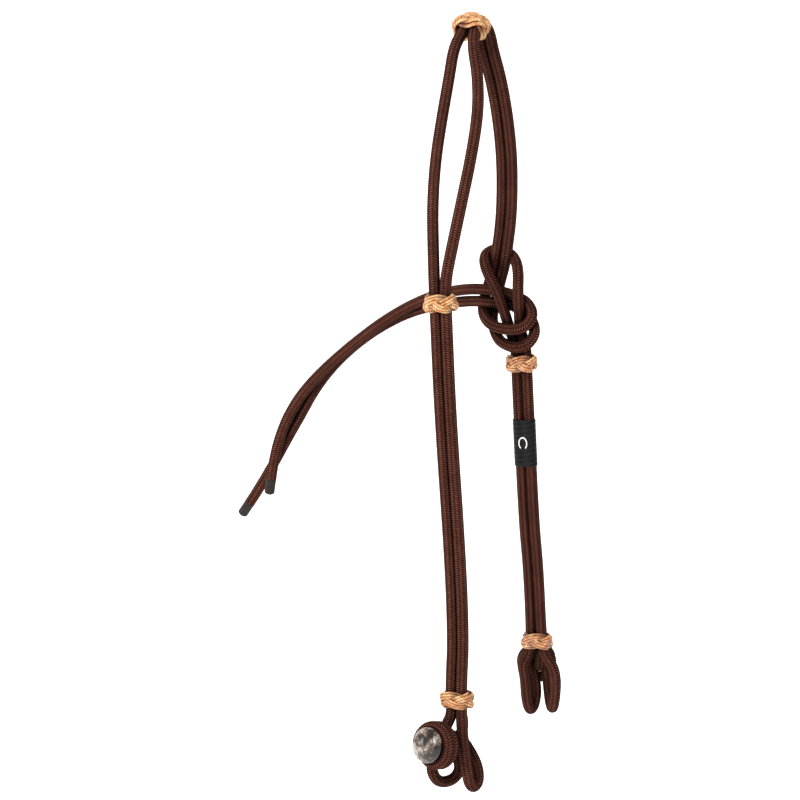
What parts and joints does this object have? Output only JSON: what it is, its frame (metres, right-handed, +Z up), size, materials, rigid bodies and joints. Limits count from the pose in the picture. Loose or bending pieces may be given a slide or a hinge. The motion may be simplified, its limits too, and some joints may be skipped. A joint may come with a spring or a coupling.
{
  "type": "rope headstall",
  "caption": "Doubled braided-rope one-ear headstall with sliding braided ring knots, a sheet-bend adjuster with two free tails, and loop-and-button bit ends",
  "frame": {"origin": "the underside of the two crown ropes at the top of the arch, where the headstall hangs on a peg or lies behind the horse's ears", "axes": "+Z up; +X from the front strand to the rear strand, the free tails point to -X; +Y from the near cheek, with the ear slot, to the far cheek, with the sheet bend"},
  "size_m": [0.222, 0.1803, 0.4559],
  "materials": {
    "rope": "tightly braided polyester rope, dark red-brown with lighter yarn crowns",
    "knot_cord": "three-ply ring knots of waxed tan cord, satin to glossy",
    "whipping": "waxed thread whipping",
    "sleeve": "black heat-shrink tube, satin",
    "core": "plain turned core, hidden",
    "stone": "polished domed stone, mottled grey, white and brown",
    "dip": "dipped dark brown coating, satin"
  },
  "bodies": {
    "crown": {"crown_rope_front": "rope", "crown_rope_rear": "rope"},
    "crown_knot_body": {"crown_knot": "knot_cord"},
    "near_side": {"front_cheek_strand": "rope", "rear_cheek_strand": "rope", "near_stalk_end": "rope", "front_ear_bend": "rope", "rear_ear_bend": "rope"},
    "ear_knot_body": {"ear_knot": "knot_cord"},
    "near_bit_knot_body": {"near_bit_knot": "knot_cord"},
    "near_bit_end": {"near_bit_loop": "rope", "near_stalk": "rope", "near_button_wrap": "rope", "near_button_core": "core", "near_button_stone": "stone", "near_neck_left": "rope", "near_neck_right": "rope", "near_stalk_bend": "rope"},
    "far_side": {"left_crown_strand": "rope", "right_crown_strand": "rope", "far_cheek_bight": "rope", "far_cheek_leg": "rope", "butt_whipping": "whipping", "shrink_sleeve": "sleeve", "far_stalk_end": "rope", "left_crown_bend": "rope", "right_crown_bend": "rope", "upper_tail_bend": "rope", "upper_tail": "rope", "upper_tail_tip": "dip", "lower_tail_bend": "rope", "lower_tail": "rope", "lower_tail_tip": "dip"},
    "far_upper_knot_body": {"far_upper_knot": "knot_cord"},
    "far_bit_knot_body": {"far_bit_knot": "knot_cord"},
    "far_bit_end": {"far_bit_loop": "rope", "far_stalk": "rope", "far_button_wrap": "rope", "far_button_core": "core", "far_button_stone": "stone", "far_neck_left": "rope", "far_neck_right": "rope", "far_stalk_bend": "rope"}
  },
  "joints": [
    {"name": "crown_knot_slide", "type": "hinge", "parent": "crown", "child": "crown_knot_body", "pos_m": [0, 0, -0.0091], "axis": [-1, 0, 0], "range_deg": [-2, 28]},
    {"name": "near_side_spread", "type": "hinge", "parent": "crown", "child": "near_side", "pos_m": [0, -0.015, -0.004], "axis": [-1, 0, 0], "range_deg": [0, 35], "deforming": ["front_ear_bend", "rear_ear_bend"]},
    {"name": "ear_knot_slide", "type": "slide", "parent": "near_side", "child": "ear_knot_body", "axis": [0, 0, -1], "range_m": [0, 0.04]},
    {"name": "near_bit_knot_slide", "type": "slide", "parent": "near_side", "child": "near_bit_knot_body", "axis": [0, 0, 1], "range_m": [0, 0.012]},
    {"name": "near_bit_end_swing", "type": "hinge", "parent": "near_side", "child": "near_bit_end", "pos_m": [-0.0044, -0.071, -0.392], "axis": [1, 0, 0], "range_deg": [-15, 20], "deforming": ["near_neck_left", "near_neck_right", "near_stalk_bend"]},
    {"name": "far_side_spread", "type": "hinge", "parent": "crown", "child": "far_side", "pos_m": [0, 0.0185, -0.011], "axis": [1, 0, 0], "range_deg": [0, 35], "deforming": ["left_crown_bend", "right_crown_bend"]},
    {"name": "far_upper_knot_slide", "type": "slide", "parent": "far_side", "child": "far_upper_knot_body", "axis": [0, 0, -1], "range_m": [0, 0.025]},
    {"name": "far_bit_knot_slide", "type": "slide", "parent": "far_side", "child": "far_bit_knot_body", "axis": [0, 0, 1], "range_m": [0, 0.012]},
    {"name": "far_bit_end_swing", "type": "hinge", "parent": "far_side", "child": "far_bit_end", "pos_m": [0.0046, 0.041, -0.39], "axis": [1, 0, 0], "range_deg": [-20, 15], "deforming": ["far_neck_left", "far_neck_right", "far_stalk_bend"]}
  ]
}
